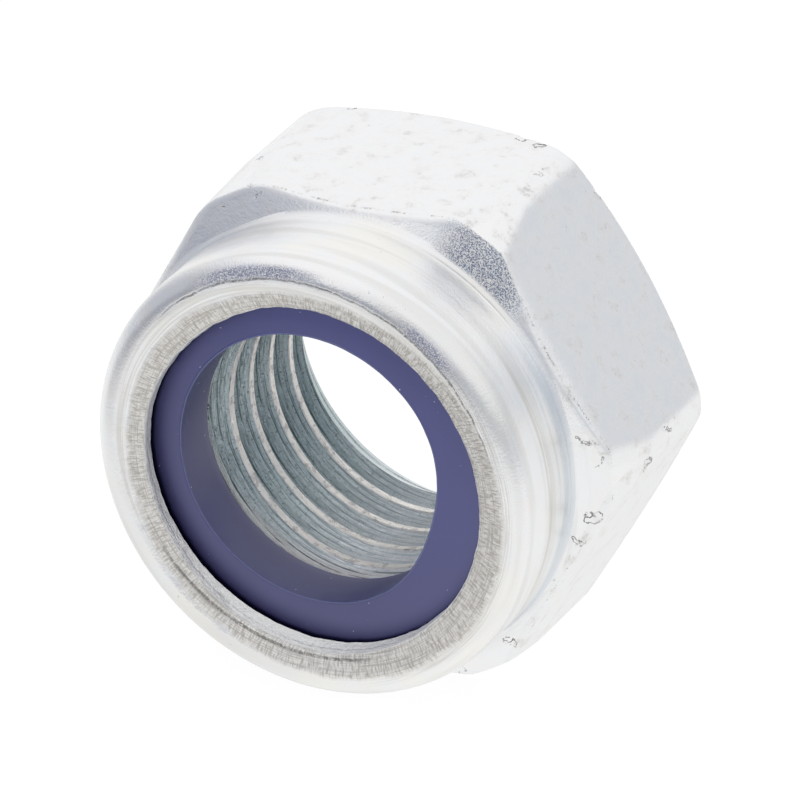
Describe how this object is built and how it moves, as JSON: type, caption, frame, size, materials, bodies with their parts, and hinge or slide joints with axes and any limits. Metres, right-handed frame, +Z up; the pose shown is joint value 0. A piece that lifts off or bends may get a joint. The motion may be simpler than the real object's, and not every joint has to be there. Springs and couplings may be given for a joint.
{
  "type": "nylon insert lock nut",
  "caption": "Hexagon lock nut of zinc plated steel with a rolled collar at one end that holds a dark blue nylon locking ring.",
  "frame": {"origin": "centre of the bearing face, on the thread axis", "axes": "+Y along the thread axis, out of the bearing face; the collar looks towards -Y; +Z up, the normal of the flat on top, with the nut lying on the flat below"},
  "size_m": [0.034, 0.0197, 0.03],
  "materials": {
    "zinc_plated_steel": "bright zinc plating with fine turning marks and small chips",
    "nylon": "satin, moulded"
  },
  "bodies": {
    "root": {"nut_body": "zinc_plated_steel", "nylon_insert": "nylon"}
  },
  "joints": []
}
